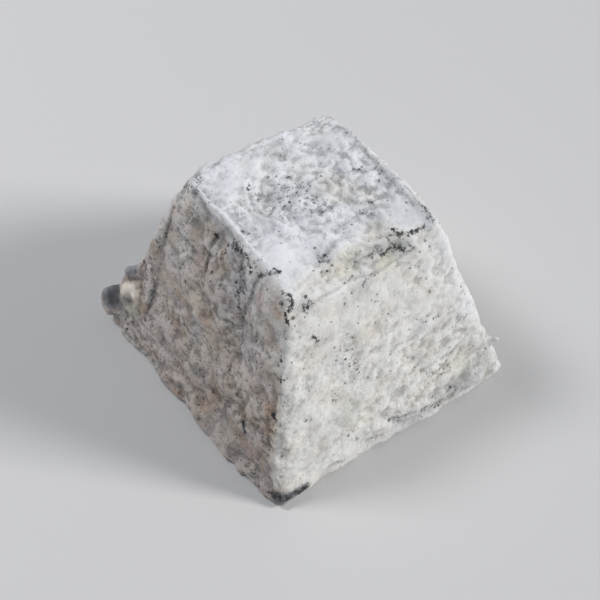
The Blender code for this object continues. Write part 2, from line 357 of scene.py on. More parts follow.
# %% Grow the wrinkles
SEED = 11
RIDGE_BLUR = 0.22
VALLEY_BLUR = 0.42
SQUEEZE = 1.6
FINE_WORM_MM = 1.2
COARSE_WORM_MM = 2.2
WORM_BLUR_MM = 0.25
HOLLOW_SHARES = {1.2: 0.8, 2.0: 0.9, 3.4: 0.9}
SMALL_HOLLOW_MM = 0.8
SMALL_HOLLOW_SHARE = 0.5

chance = np.random.default_rng(SEED)


def worm_pattern(width_mm, turns):
    """Ridges and valleys of one width, from -1 to 1."""
    values = chance.normal(size=count)
    for _ in range(turns):
        values = spread(values, width_mm * RIDGE_BLUR) - spread(values, width_mm * VALLEY_BLUR)
        values = np.tanh(SQUEEZE * values / values.std())
    return values


def swells(size_mm):
    """Broad, slow changes from about -1 to 1."""
    values = spread(chance.normal(size=count), size_mm)
    return np.clip(values / values.std() / 2.0, -1.0, 1.0)


fine_worms = worm_pattern(FINE_WORM_MM, turns=2)
coarse_worms = worm_pattern(COARSE_WORM_MM, turns=3)
patches = swells(2.6)
wide_patches = swells(5.0)
coarseness = 0.5 + 0.5 * np.clip(patches * 1.5 + on_left * 0.5 - 0.1, -1.0, 1.0)
worms = spread(fine_worms * (1.0 - coarseness) + coarse_worms * coarseness, WORM_BLUR_MM)
hollows = sum(share * swells(size_mm) for size_mm, share in HOLLOW_SHARES.items())
hollows += SMALL_HOLLOW_SHARE * swells(SMALL_HOLLOW_MM) * (1.0 - on_left)
print("wrinkle heights run from", round(worms.min(), 2), "to", round(worms.max(), 2))

# %% [markdown]
# ## Calm places
#
# Where the mould is thickest it lies smooth, as on the white patches of the top. Along
# the edges the skin is stretched and lies flatter too. A mask of such calm places makes
# the relief lower there. The whole skin is also set a little inwards first, which makes
# up for a part of what the hills add to the cheese's size.

# %% Lay the wrinkles on the skin
WRINKLE_HEIGHT = 0.24 * MM
HOLLOW_DEPTH = 0.30 * MM
WORMS_EVERYWHERE = 0.5
WORMS_ON_TOP = 0.2
WORMS_ON_LEFT = 0.25
HOLLOWS_ON_LEFT = 0.9
RELIEF_LEVEL = 0.95
RELIEF_UNEVENNESS = 0.4
CALMING = 0.75
SETTLING = 0.12 * MM
CALM_SPOTS = ((226, 184, 4.8), (282, 256, 6.5), (403, 215, 4.5), (262, 226, 3.4), (246, 166, 3.5),
              (306, 250, 3.5), (330, 140, 3.0), (129.7, 291, 2.6), (110, 297, 4.0), (493, 340, 2.0))
LIP = [(192, 182), (198, 189), (205, 199), (214, 207), (223, 214.5), (230, 222), (237.5, 231.6),
       (246, 241), (254, 251), (264, 261)]
BAND_TOP = [(425, 228), (408, 234), (390, 236), (366, 240), (348, 234), (332, 243), (322, 258),
            (311, 274), (295, 290)]
BAND_FOOT = [(414, 249), (394, 262), (375, 274), (352, 279), (335, 292), (318, 300), (304, 309)]
FRONT_EDGE = [(290, 325), (287, 345), (283, 375), (280, 405), (277, 440), (275, 470), (275, 488)]
RIGHT_EDGE = [(440, 232), (452, 262), (463, 292), (475, 318)]
RIGHT_FOOT = [(300, 484), (330, 470), (368, 447), (408, 422), (438, 403)]
CALM_LINES = ((LIP, 0.6, 0.3), (BAND_TOP, 0.9, 0.6), (BAND_FOOT, 0.9, 0.6), (FRONT_EDGE, 1.0, 0.4),
              (RIGHT_EDGE, 1.6, 0.6), (RIGHT_FOOT, 1.8, 0.6))

calm = np.zeros(count)
for across, down, radius_mm in CALM_SPOTS:
    calm = np.maximum(calm, near_spot(seen_at(across, down), radius_mm))
for pixels, radius_mm, amount in CALM_LINES:
    calm = np.maximum(calm, near_line(drawn(pixels), radius_mm) * amount)
worm_height = WRINKLE_HEIGHT * (WORMS_EVERYWHERE + WORMS_ON_TOP * on_top + WORMS_ON_LEFT * on_left)
hollow_depth = HOLLOW_DEPTH * (1.0 + HOLLOWS_ON_LEFT * on_left)
strength = (RELIEF_LEVEL + RELIEF_UNEVENNESS * wide_patches) * (1.0 - CALMING * calm)
relief = (worm_height * worms + hollow_depth * hollows) * strength
relief -= SETTLING
relief[on_sole] = 0.0
print("the wrinkles stand up by as much as", round(float(relief.max()) / MM, 2), "mm")

# %% [markdown]
# ## Folds and creases
#
# Between the wrinkles lie a few larger folds that the photograph shows one by one: the
# thin lip round the top's left rim, soft folds across the top, the two edges of the
# slanting band, the front edge, and long creases down the left face. Each is a line of
# pixels with a half width and a height, and a crease is a fold with a height below
# nought. A swelling, as on the curd at the corner, is a spot in the same way.

# %% Draw the folds
LOBE_BROW = [(279, 272), (270, 274), (260, 276), (255, 283), (252, 292), (250, 301)]
LONG_CREASE = [(250, 301), (243, 315), (241, 346), (232, 361), (228, 377)]
NOTCH_CREASE = [(217, 236), (212, 245), (208, 259), (206, 272)]
LEFT_CREASE = [(174, 208), (171, 221), (166, 236), (164, 245)]
LUMP_CREASE = [(155, 284), (152, 299), (148, 310), (146, 320)]
LUMP_ROLL = [(149, 268), (149, 284), (146, 300)]
RIM_CREASE = [(198, 215), (194, 224)]
SHORT_CREASE = [(208, 230), (206, 237)]
FOOT_SLIT = [(243, 421), (245, 432)]
FOOT_CREASE = [(389, 420), (399, 418), (413, 412)]
FOLDS = {
    "lip of the left rim": (LIP, 0.4, 0.2),
    "groove behind the lip": ([(202, 190), (211, 199), (221, 207), (231, 216), (240, 226)], 0.5, -0.2),
    "fold over the top": ([(247, 196), (249, 206), (254, 214), (262, 218), (273, 220),
                           (282, 227), (290, 230)], 0.6, 0.32),
    "crease beside it": ([(250, 195), (252, 204), (257, 211), (264, 215), (275, 217),
                          (284, 223)], 0.6, -0.3),
    "fold at the back left": ([(256, 160), (258, 170), (258, 180)], 0.9, 0.18),
    "fold of the left corner": ([(222, 199), (233, 204), (243, 211), (250, 219)], 0.6, 0.26),
    "upper edge of the band": (BAND_TOP, 0.6, -0.34),
    "lower edge of the band": (BAND_FOOT, 0.55, -0.36),
    "brow of the swollen lobe": (LOBE_BROW, 0.5, -0.26),
    "long crease": (LONG_CREASE, 0.45, -0.26),
    "crease under the notch": (NOTCH_CREASE, 0.45, -0.3),
    "short crease under the rim": (RIM_CREASE, 0.5, -0.26),
    "short crease beside it": (SHORT_CREASE, 0.5, -0.26),
    "crease by the left edge": (LEFT_CREASE, 0.5, -0.3),
    "crease above the lump": (LUMP_CREASE, 0.5, -0.34),
    "slit near the foot": (FOOT_SLIT, 0.5, -0.3),
    "crease over the foot": (FOOT_CREASE, 0.55, -0.3),
    "body of the front edge": (FRONT_EDGE, 1.6, 0.42),
    "crest of the front edge": (FRONT_EDGE, 0.5, 0.12),
    "gap over the cream lump": ([(123, 282), (129, 281), (138, 280)], 0.5, -0.5),
    "gap beside the cream lump": ([(140, 282), (141, 290), (140, 300)], 0.6, -0.5),
    "gap behind the fin": ([(118, 286), (119, 294), (119, 302)], 0.4, -0.25),
    "roll beside the lump": (LUMP_ROLL, 0.9, 0.3),
    "curl near the foot": ([(333, 463), (338, 461), (342, 462)], 0.5, -0.2),
}
SWOLLEN = ((129.5, 290, 1.9, 0.7), (127, 272, 1.5, 0.9), (128, 309, 1.5, 0.4), (136, 312, 1.3, 0.4),
           (268, 290, 2.6, 0.4), (262, 300, 2.2, 0.3))

for pixels, radius_mm, height_mm in FOLDS.values():
    relief += near_line(drawn(pixels), radius_mm) * height_mm * MM
for across, down, radius_mm, height_mm in SWOLLEN:
    relief += near_spot(seen_at(across, down), radius_mm) * height_mm * MM
relief[on_sole] = 0.0
print(len(FOLDS), "folds; the relief runs from", round(float(relief.min()) / MM, 2), "to",
      round(float(relief.max()) / MM, 2), "mm")

# %% [markdown]
# ## Raising the relief
#
# Each point of the skin now moves along its own normal by its relief, and stays inside
# the solid's box. Pixels are looked up on the raised skin from here on, because the
# colours belong on it.

# %% Raise the relief
points = np.clip(points + normals * relief[:, None], np.array(low), np.array(high))
skin_data.vertices.foreach_set("co", points.ravel())
skin_data.update()
skin_tree = BVHTree.FromObject(skin, bpy.context.evaluated_depsgraph_get())
print("the skin has", sum(len(face.vertices) - 2 for face in skin_data.polygons), "triangles")

# %% [markdown]
# ## Crests and valleys
#
# Mould grows thick on what stands up and thin in what lies low, so crests are white and
# valleys show grey. That grey is partly painted shade as well: the valleys are darkened
# as if shade lay in them. How far a point stands above the blurred skin round it tells
# one from the other, for the folds and the wrinkles alike.

# %% Measure how far each point stands up
CREST_SIZE_MM = 1.2
CREST_SURROUNDINGS_MM = 3.6
CREST_HEIGHT = 0.10 * MM
CREST_LIMIT = 1.5

rise = np.einsum("ij,ij->i", points - blurred(CREST_SIZE_MM), normals)
rise -= spread(rise, CREST_SURROUNDINGS_MM)
crest = np.clip(rise / CREST_HEIGHT, -CREST_LIMIT, CREST_LIMIT)
crest[on_sole] = 0.0
print("a point stands up by", round(float(np.abs(rise).mean()) / MM, 3), "mm on average")

# %% [markdown]
# ## Base colour
#
# The colour is painted on the points: cool white mould on top, a warmer white on the
# front, and a pinkish grey where the left face has ripened, paler at its top and browner
# at its foot. The top's cool tint is partly painted light: the cool light from above,
# copied into the colour. Slow patches of cream, grey and brown break all of it up, and
# the hollows are creamier than the rest. Every tint comes from a small palette.

# %% Paint the base colour
def seen_colour(red, green, blue):
    """A colour named by its 0 to 255 screen values, as the linear light a shader wants."""
    return np.array([(value / 255.0) ** 2.2 for value in (red, green, blue)])


TINTS = {
    "cool white": seen_colour(226, 228, 232),
    "white": seen_colour(228, 228, 226),
    "cream": seen_colour(224, 216, 196),
    "grey": seen_colour(168, 170, 174),
    "stone": seen_colour(180, 172, 160),
    "ripe": seen_colour(206, 197, 191),
    "umber": seen_colour(158, 140, 124),
    "rust": seen_colour(168, 130, 100),
    "pink": seen_colour(178, 154, 152),
    "lilac": seen_colour(150, 151, 160),
    "slate": seen_colour(84, 87, 95),
    "curd": seen_colour(255, 246, 230),
    "moss": seen_colour(168, 174, 158),
}
BAND_MIDDLE = [(302, 288), (322, 270), (348, 256), (372, 240), (398, 236)]
BAND_HALF_WIDTH_MM = 2.6
colour = np.tile(TINTS["white"], (count, 1))


def dab(tint, mask):
    """Lays a tint over the colour where the mask is."""
    share = np.clip(mask, 0.0, 1.0)[:, None]
    colour[:] = colour + (TINTS[tint] - colour) * share


def patch(tint, amount, size_mm, where, rarity=0.0):
    """Lays a tint in slow patches of about the size given, the fewer the rarer."""
    dab(tint, amount * (swells(size_mm) - rarity) * where)


height_share = points[:, 2] / high.z
near_rim = np.clip(height_share * 2.2 - 1.1, 0.0, 1.0)
near_foot = np.clip(1.2 - height_share * 1.6, 0.0, 1.0)
in_hollows = np.clip(-hollows, 0.0, 1.0)
on_band = near_line(drawn(BAND_MIDDLE), BAND_HALF_WIDTH_MM)
on_open_top = on_top * (1.0 - calm)
# Painted cool light on the top, over its white mould.
dab("cool white", on_top)
dab("white", 0.95 * on_band)
dab("cream", 0.12 * on_band)
dab("ripe", 1.05 * on_left)
patch("cream", 0.30, 2.4, 1.0 - on_top)
dab("cream", 0.22 * in_hollows * on_front)
patch("grey", 0.40, 1.4, 1.0 - 0.85 * on_front)
patch("grey", 0.22, 2.6, on_open_top)
patch("grey", 0.35, 0.9, on_open_top)
patch("stone", 0.35, 1.6, on_front)
dab("cream", 0.18 * in_hollows * on_top)
dab("white", 0.70 * on_left * near_rim)
dab("umber", 0.30 * on_left * near_foot)
patch("lilac", 0.40, 2.6, on_left)
patch("umber", 0.75, 1.8, on_left)
patch("ripe", 0.80, 2.2, on_left)
patch("rust", 0.45, 2.4, on_left, rarity=0.35)
patch("ripe", 0.90, 4.0, on_hidden)
patch("umber", 0.40, 2.0, on_hidden, rarity=0.2)
print("the mean colour is", colour.mean(axis=0).round(2))

# %% [markdown]
# ## Stains and painted light
#
# Over the base colour go the stains that can be told apart in the photograph: grey and
# greenish clouds, yellow and rust-brown spots, and the white or dark lines along folds
# and creases. Some marks are painted light rather than stains: a painted shadow under the
# lip of the top's left rim and a painted highlight on the lip, dark lines in the creases
# that are partly ash and partly painted shade, and painted shade at the right face's foot.
# Each is a tint laid as a soft spot or along a line, with its place, its size in
# millimetres and its strength.

# %% Lay the stains and the painted light
STAINS_AND_PAINTED_SHADE = (
    ("grey", 305, 190, 5.0, 0.12), ("grey", 345, 165, 3.5, 0.2),
    ("grey", 275, 200, 3.0, 0.3), ("grey", 375, 222, 2.6, 0.4), ("grey", 360, 190, 3.0, 0.3),
    ("cool white", 226, 184, 4.6, 1.0), ("cool white", 282, 256, 6.0, 1.0),
    ("cool white", 403, 213, 3.6, 0.35), ("cool white", 262, 238, 3.5, 0.8),
    ("grey", 421, 216, 3.0, 0.45), ("grey", 385, 236, 3.0, 0.2), ("moss", 400, 242, 2.6, 0.5),
    ("cream", 386, 262, 2.2, 0.7), ("cream", 345, 268, 3.0, 0.45), ("cream", 304, 283, 2.5, 0.15),
    ("grey", 318, 258, 1.6, 0.6), ("grey", 328, 250, 1.6, 0.5), ("moss", 352, 262, 3.0, 0.4),
    # The grey at 400, 425 is painted shade at the right face's foot, where it turns under.
    ("grey", 485, 358, 6.0, 0.3), ("moss", 388, 257, 2.5, 0.4), ("grey", 400, 425, 4.0, 0.25),
    ("moss", 487, 372, 2.5, 0.3), ("grey", 462, 340, 4.0, 0.2),
    ("rust", 277, 314, 2.2, 0.5), ("rust", 187, 207, 2.2, 0.3), ("curd", 187, 206, 1.8, 0.5),
    ("umber", 202, 233, 2.0, 0.7), ("slate", 195, 192, 1.0, 0.8), ("rust", 206, 270, 1.2, 0.5),
    ("rust", 271, 410, 2.2, 0.7), ("rust", 266, 430, 2.2, 0.65), ("rust", 226, 300, 2.0, 0.4),
    ("rust", 205, 318, 2.0, 0.25), ("umber", 215, 236, 2.4, 0.6), ("umber", 262, 372, 3.0, 0.6),
    ("umber", 226, 268, 3.4, 0.45), ("pink", 200, 262, 3.0, 0.5), ("pink", 258, 300, 2.6, 0.6),
    ("pink", 252, 452, 2.6, 0.7), ("pink", 176, 330, 3.0, 0.4), ("cream", 196, 300, 3.0, 0.5),
    ("cream", 210, 352, 3.0, 0.3), ("lilac", 240, 285, 4.0, 0.6), ("lilac", 246, 345, 4.0, 0.4),
    ("lilac", 232, 252, 2.6, 0.6), ("lilac", 200, 380, 4.0, 0.3),
    # The grey at 452, 388 is painted shade at the foot, where the face turns under.
    ("moss", 350, 412, 3.5, 0.3), ("moss", 468, 372, 3.0, 0.3), ("grey", 452, 388, 3.0, 0.5),
    ("cream", 310, 350, 5.0, 0.2), ("cream", 330, 400, 6.0, 0.15), ("pink", 330, 338, 3.0, 0.12),
    ("grey", 404, 246, 2.2, 0.4), ("grey", 381, 251, 2.0, 0.4), ("grey", 365, 284, 1.5, 0.6),
    ("grey", 372, 213, 2.2, 0.4), ("grey", 424, 210, 3.0, 0.45),
    ("grey", 398, 190, 3.5, 0.25), ("grey", 404, 214, 3.0, 0.2), ("grey", 325, 145, 5.0, 0.2),
    ("cream", 376, 230, 3.0, 0.35), ("cream", 338, 190, 4.0, 0.2),
    ("umber", 210, 290, 8.0, 0.25), ("lilac", 235, 305, 6.0, 0.2), ("cream", 300, 165, 4.0, 0.15),
    ("cream", 365, 195, 3.0, 0.2), ("slate", 286, 302, 1.2, 0.35), ("grey", 307, 304, 1.8, 0.5),
    ("grey", 250, 233, 2.4, 0.3),
)
RIM = [(341, 128), (363, 149), (388, 177), (413, 204), (429, 222)]
STREAKS_AND_PAINTED_LIGHT = (
    # Painted shadow under the lip of the top's left rim.
    ("grey", [(197, 198), (207, 210), (217, 219), (228, 230)], 1.1, 0.5),
    # The lip's white mould, kept clean and bright as a painted highlight.
    ("cool white", LIP, 0.35, 0.9),
    ("cool white", RIM, 2.6, 0.7),
    ("grey", RIM, 1.5, 0.85),
    ("cool white", [(204, 176), (232, 160), (262, 146), (300, 129), (322, 121)], 1.2, 0.8),
    ("grey", [(330, 262), (352, 262), (372, 250), (395, 241)], 1.5, 0.28),
    ("cream", [(322, 276), (342, 267)], 1.8, 0.2),
    ("umber", [(279, 380), (274, 410), (268, 440), (262, 470)], 1.6, 0.6),
    ("white", [(290, 332), (286, 360), (282, 400), (278, 440), (276, 485)], 0.7, 0.9),
    ("white", [(294, 335), (290, 370), (286, 410), (282, 450), (281, 480)], 1.4, 0.6),
    # Painted shade along the right face's foot, where it turns under.
    ("grey", [(400, 426), (440, 398), (472, 379)], 3.0, 0.45),
    ("white", RIGHT_FOOT[1:4], 1.2, 0.5),
    ("cool white", RIGHT_EDGE, 3.0, 0.5),
    # Dark lines in the creases: partly ash, partly painted shade in the creases.
    ("slate", LOBE_BROW, 0.35, 0.6),
    ("slate", LONG_CREASE, 0.3, 0.3),
    ("white", [(180, 194), (168, 214), (157, 235)], 0.7, 0.6),
    # Dark line in the slit near the foot: ash and painted shade.
    ("slate", [(242, 421), (244, 427), (245, 434)], 0.45, 0.9),
    ("cream", [(279, 400), (275, 430), (271, 455)], 0.9, 0.5),
    # Dark lines in the creases: partly ash, partly painted shade in the creases.
    ("slate", NOTCH_CREASE, 0.35, 0.6),
    ("slate", LEFT_CREASE, 0.4, 0.6),
    ("slate", LUMP_CREASE, 0.45, 0.6),
    ("white", [(221, 236), (217, 248), (212, 262)], 0.5, 0.6),
    ("white", LUMP_ROLL, 0.8, 0.5),
)

for tint, across, down, radius_mm, amount in STAINS_AND_PAINTED_SHADE:
    dab(tint, near_spot(seen_at(across, down), radius_mm) * amount)
for tint, pixels, radius_mm, amount in STREAKS_AND_PAINTED_LIGHT:
    dab(tint, near_line(drawn(pixels), radius_mm) * amount)
print(len(STAINS_AND_PAINTED_SHADE), "stains and", len(STREAKS_AND_PAINTED_LIGHT), "streaks")

# %% [markdown]
# ## Lumps and the bottom corner
#
# At the left corner a bead of cream curd was squeezed out beside a lump and a fin that
# the ash turned grey, and the bottom corner is dark with ash and with painted shade, for
# its small facet faces down. These small parts have clear borders, so their spots are
# firmer than the stains.

# %% Colour the lumps and the bottom corner
LUMP_FIRMNESS = 5.0
LUMP_TINTS = (
    ("slate", 110, 298, 3.0, 0.75), ("slate", 114, 303, 2.4, 0.68), ("slate", 111, 289, 2.6, 0.66),
    ("slate", 117, 288, 1.6, 0.7), ("grey", 105, 291, 0.9, 0.7), ("grey", 105, 296, 0.8, 0.5),
    ("grey", 106, 301, 0.8, 0.5), ("grey", 110, 306, 0.8, 0.5), ("moss", 127, 306, 2.5, 0.5),
    ("moss", 134, 311, 2.4, 0.5), ("slate", 123, 314, 2.2, 0.4), ("lilac", 131, 271, 2.2, 0.9),
    ("slate", 141, 272, 1.3, 0.6),
    # From the spot at 277, 498 on, slate darkens the bottom corner: ash, and painted shade on its
    # downward facet.
    ("curd", 130.0, 291, 2.7, 0.95), ("white", 493, 340, 2.0, 0.9), ("slate", 277, 498, 1.8, 0.72),
    ("slate", 285, 497, 2.0, 0.6), ("slate", 294, 494, 1.8, 0.65), ("slate", 301, 490, 1.4, 0.8),
    ("slate", 306, 487, 1.0, 0.7), ("slate", 283, 500, 1.8, 0.4), ("slate", 290, 498, 1.7, 0.5),
)

for tint, across, down, radius_mm, amount in LUMP_TINTS:
    dab(tint, near_spot(seen_at(across, down), radius_mm, LUMP_FIRMNESS) * amount)
paint = skin_data.attributes.new("rind_colour", "FLOAT_COLOR", "POINT")
paint.data.foreach_set("color", np.column_stack([colour, np.ones(count)]).ravel())
print("the colour is stored on", count, "points")

# %% [markdown]
# ## Ash
#
# Ash shows as specks where the mould is thin: in the valleys of the wrinkles, along the
# creases and the edges, and in black clumps at the corners of the top. We paint how
# much ash there is. The material later turns that into sharp specks. The small lumps at
# the left corner show hardly any, so their spots are kept clean. A second field, crinkle,
# says how strong the wrinkles are that are finer than the mesh.

# %% Paint the ash
ASH_LINES = (
    ([(392, 229), (400, 234), (409, 233), (418, 230), (425, 227)], 0.8, 0.60),
    ([(377, 250), (383, 254), (388, 248)], 1.0, 0.50),
    ([(396, 247), (404, 249)], 0.9, 0.62), ([(408, 244), (412, 248)], 0.6, 0.55),
    ([(319, 256), (320, 262), (326, 255)], 0.7, 0.52), ([(354, 264), (362, 260)], 0.6, 0.40),
    ([(352, 276), (348, 281)], 0.4, 0.50), ([(376, 272), (366, 279), (363, 286)], 0.7, 0.42),
    ([(334, 289), (335, 289)], 0.4, 0.50),
    ([(285, 293), (291, 297), (292, 305), (288, 311)], 0.75, 0.66), ([(281, 302), (283, 306)], 0.5, 0.60),
    ([(284, 312), (286, 319), (288, 325)], 0.55, 0.62), ([(292, 319), (295, 316)], 0.5, 0.46),
    ([(303, 294), (306, 297)], 0.5, 0.60), ([(303, 303), (306, 309), (311, 306), (309, 302)], 0.9, 0.54),
    ([(260, 277), (270, 272), (273, 269), (279, 272)], 0.6, 0.58),
    ([(260, 277), (254, 284), (252, 292)], 0.4, 0.42),
    ([(235, 243), (226, 251), (221, 258)], 1.0, 0.50), ([(236, 244), (240, 251), (246, 258)], 1.5, 0.54),
    ([(254, 262), (262, 259)], 0.8, 0.42), ([(250, 266), (253, 271), (250, 272)], 0.5, 0.50),
    ([(243, 264), (241, 280), (239, 300), (243, 318)], 2.0, 0.44), ([(236, 282), (244, 292)], 1.2, 0.52),
    ([(216, 234), (218, 237)], 0.5, 0.75), ([(216, 240), (208, 259), (206, 270)], 0.4, 0.36),
    (RIM_CREASE, 0.4, 0.40), (SHORT_CREASE, 0.4, 0.40),
    ([(187, 183), (190, 189), (198, 192), (197, 178)], 0.9, 0.46),
    ([(174, 208), (166, 236), (163, 246)], 0.6, 0.42), ([(152, 240), (160, 244)], 0.8, 0.46),
    ([(155, 284), (152, 299), (148, 312)], 0.5, 0.44), ([(142, 262), (150, 272)], 1.2, 0.42),
    ([(249, 184), (250, 188), (248, 190)], 0.5, 0.50), ([(255, 229), (257, 230)], 0.4, 0.46),
    ([(264, 231), (268, 230)], 0.4, 0.42), ([(259, 238), (260, 240)], 0.4, 0.42),
    ([(240, 226), (243, 232)], 0.6, 0.40), ([(284, 178), (292, 177)], 0.8, 0.40),
    ([(283, 189), (299, 186), (304, 195), (313, 199)], 1.6, 0.36),
    ([(266, 196), (290, 203), (322, 210)], 3.6, 0.30), ([(385, 236), (404, 246), (381, 251)], 2.0, 0.30),
    ([(268, 214), (274, 210)], 0.8, 0.40), ([(294, 203), (310, 205)], 1.2, 0.34),
    ([(350, 163), (352, 170), (362, 167)], 0.5, 0.44), ([(367, 202), (373, 201)], 0.7, 0.50),
    ([(359, 213), (369, 212), (377, 214)], 0.6, 0.46), ([(374, 168), (375, 168)], 0.4, 0.46),
    (RIM, 1.2, 0.30), ([(419, 203), (427, 211), (434, 222)], 0.8, 0.46),
    ([(405, 207), (407, 209)], 0.6, 0.34),
    ([(312, 337), (316, 338), (317, 341), (321, 339)], 0.3, 0.80), ([(351, 337), (353, 337)], 0.4, 0.50),
    ([(346, 350), (348, 349)], 0.4, 0.46), ([(352, 358), (356, 362)], 0.5, 0.50),
    ([(340, 352), (350, 366), (362, 375)], 2.0, 0.30), ([(450, 347), (451, 352)], 0.5, 0.46),
    ([(446, 364), (443, 373), (432, 373)], 0.9, 0.40), ([(466, 315), (464, 318)], 0.6, 0.42),
    ([(281, 360), (281, 363)], 0.5, 0.70), ([(281, 379), (280, 383)], 0.5, 0.70),
    ([(280, 394), (280, 397)], 0.4, 0.60), ([(273, 414), (275, 419)], 0.7, 0.78),
    ([(275, 431), (276, 433)], 0.4, 0.65), ([(270, 444), (271, 446)], 0.4, 0.65),
    ([(281, 350), (278, 380), (275, 410), (269, 440)], 0.9, 0.30),
    (FOOT_SLIT, 0.4, 0.70), ([(266, 400), (262, 425)], 1.5, 0.30),
    ([(272, 493), (284, 499), (296, 493), (306, 487)], 1.3, 0.60),
    (FOOT_CREASE, 0.6, 0.40), ([(452, 390), (438, 402), (425, 408)], 1.4, 0.36),
    ([(333, 463), (342, 461)], 0.4, 0.44), ([(355, 437), (358, 439)], 0.4, 0.46),
    ([(304, 421), (313, 419)], 0.4, 0.42), ([(250, 470), (262, 486)], 1.0, 0.42),
    ([(112, 292), (114, 300), (119, 309)], 1.4, 0.26), ([(136, 270), (141, 280)], 0.9, 0.40),
)
CLEAN_SPOTS = ((129.5, 291, 3.0), (110, 297, 4.0), (128, 306, 3.0))
ASH_LINE_SPREAD = 1.3
ASH_EVERYWHERE = 0.07
ASH_PATCHINESS = 0.08
ASH_ON_LEFT = 0.11
ASH_ON_HIDDEN = 0.15
CRINKLE_EVERYWHERE = 0.55
CRINKLE_ON_TOP = 0.25
CRINKLE_ON_LEFT = 0.38
CRINKLE_CALMING = 0.8
CRINKLE_UNEVENNESS = 0.3

crinkle = CRINKLE_EVERYWHERE + CRINKLE_ON_TOP * on_top + CRINKLE_ON_LEFT * on_left
crinkle *= (1.0 - CRINKLE_CALMING * calm) * (1.0 + CRINKLE_UNEVENNESS * wide_patches)
ash = ASH_EVERYWHERE + ASH_PATCHINESS * (swells(1.8) + patches) + ASH_ON_LEFT * on_left
ash += ASH_ON_HIDDEN * swells(3.0) * on_hidden
for pixels, radius_mm, amount in ASH_LINES:
    ash = np.maximum(ash, near_line(drawn(pixels), radius_mm * ASH_LINE_SPREAD) * amount)
for across, down, radius_mm in CLEAN_SPOTS:
    ash *= 1.0 - near_spot(seen_at(across, down), radius_mm, LUMP_FIRMNESS)
for name, values in {"ash": ash, "crest": crest, "crinkle": crinkle, "ripeness": on_left}.items():
    field = skin_data.attributes.new(name, "FLOAT", "POINT")
    field.data.foreach_set("value", values)
print("ash runs from", round(float(ash.min()), 2), "to", round(float(ash.max()), 2))

# %% [markdown]
# ## Shaders as sums
#
# A material is a net of nodes, and a net of sums is hard to read. So a node's output is
# wrapped in a small class with Python's operators: a sum on wires adds the Math nodes.

# %% A small language for shaders
class Wire:
    """A node's output that can be added, subtracted and multiplied."""

    def __init__(self, finish, socket):
        self.finish = finish
        self.socket = socket

    def maths(self, operation, left, right):
        return self.finish.node("ShaderNodeMath", {"operation": operation}, {0: left, 1: right})

    def __add__(self, other):
        return self.maths("ADD", self, other)

    def __sub__(self, other):
        return self.maths("SUBTRACT", self, other)

    def __mul__(self, other):
        return self.maths("MULTIPLY", self, other)

    def __rsub__(self, other):
        return self.maths("SUBTRACT", other, self)

    def __abs__(self):
        return self.maths("ABSOLUTE", self, 0.0)

    def __or__(self, other):
        """The larger of two masks."""
        return self.maths("MAXIMUM", self, other)

    __radd__ = __add__
    __rmul__ = __mul__


class Finish:
    """A material, and the one way to add nodes to it."""

    def __init__(self, name):
        self.material = bpy.data.materials.new(name)
        self.material.use_nodes = True
        self.tree = self.material.node_tree
        self.shader = self.tree.nodes["Principled BSDF"]

    def feed(self, socket, value):
        if isinstance(value, Wire):
            self.tree.links.new(value.socket, socket)
        else:
            socket.default_value = value

    def node(self, kind, settings, inputs, output=0):
        """Adds a node, sets it, feeds its sockets and returns one of its outputs."""
        made = self.tree.nodes.new(kind)
        for name, value in settings.items():
            setattr(made, name, value)
        for name, value in inputs.items():
            self.feed(made.inputs[name], value)
        return Wire(self, made.outputs[output])

    def painted(self, name, output="Fac"):
        return self.node("ShaderNodeAttribute", {"attribute_name": name}, {}, output)

    def noise(self, place, size_mm, detail, roughness=0.5, distortion=0.0):
        """Noise with lumps of about the size given."""
        inputs = {"Vector": place, "Scale": 1.0 / (size_mm * MM), "Detail": detail,
                  "Roughness": roughness, "Distortion": distortion}
        return self.node("ShaderNodeTexNoise", {"noise_dimensions": "3D"}, inputs)

    def step(self, value, start, end):
        """Nought below start, one above end, and soft between."""
        inputs = {"Value": value, "From Min": start, "From Max": end}
        return self.node("ShaderNodeMapRange", {"interpolation_type": "SMOOTHSTEP"}, inputs)

    def mix(self, share, first_colour, second_colour):
        settings = {"data_type": "RGBA", "blend_type": "MIX"}
        inputs = {0: share, 6: first_colour, 7: second_colour}
        return self.node("ShaderNodeMix", settings, inputs, output=2)

    def scaled(self, colour_wire, factor):
        settings = {"operation": "SCALE"}
        return self.node("ShaderNodeVectorMath", settings, {0: colour_wire, "Scale": factor})


# %% [markdown]
# ## The rind's material
#
# Three things make the mould's look: soft white pillows with thin grey valleys between
# them, a mottle where the mould is thicker or thinner, and cottony fluff, mostly on the
# ripe face. The valleys' grey is partly painted shade, laid where the fine bump sinks. A
# valley is where a noise crosses its middle value, because that happens along thin
# winding lines.

# %% Wrinkles finer than the mesh
rind = Finish("rind")
place = rind.node("ShaderNodeTexCoord", {}, {}, output="Object")
painted_colour = rind.painted("rind_colour", "Color")
standing = rind.painted("crest")
ash_amount = rind.painted("ash")
crinkle_amount = rind.painted("crinkle")
ripeness = rind.painted("ripeness")


def winding_valleys(size_mm, narrowness, distortion):
    """One along thin winding lines about the given size apart, and nought between them."""
    noise = rind.noise(place, size_mm, 1.0, 0.5, distortion)
    return 1.0 - rind.step(abs(noise - 0.5) * narrowness, 0.0, 1.0)


valleys = winding_valleys(3.0, 7.0, 0.6)
fine_valleys = winding_valleys(1.7, 5.0, 0.4)
ridges = winding_valleys(2.3, 9.0, 0.8)
mottle = rind.noise(place, 3.2, 5.0, 0.66, 0.4)
cotton = rind.noise(place, 2.2, 5.0, 0.7, 1.3)
fluff = rind.noise(place, 0.9, 4.0, 0.7, 1.4)
crumb = rind.noise(place, 0.6, 3.0, 0.6)
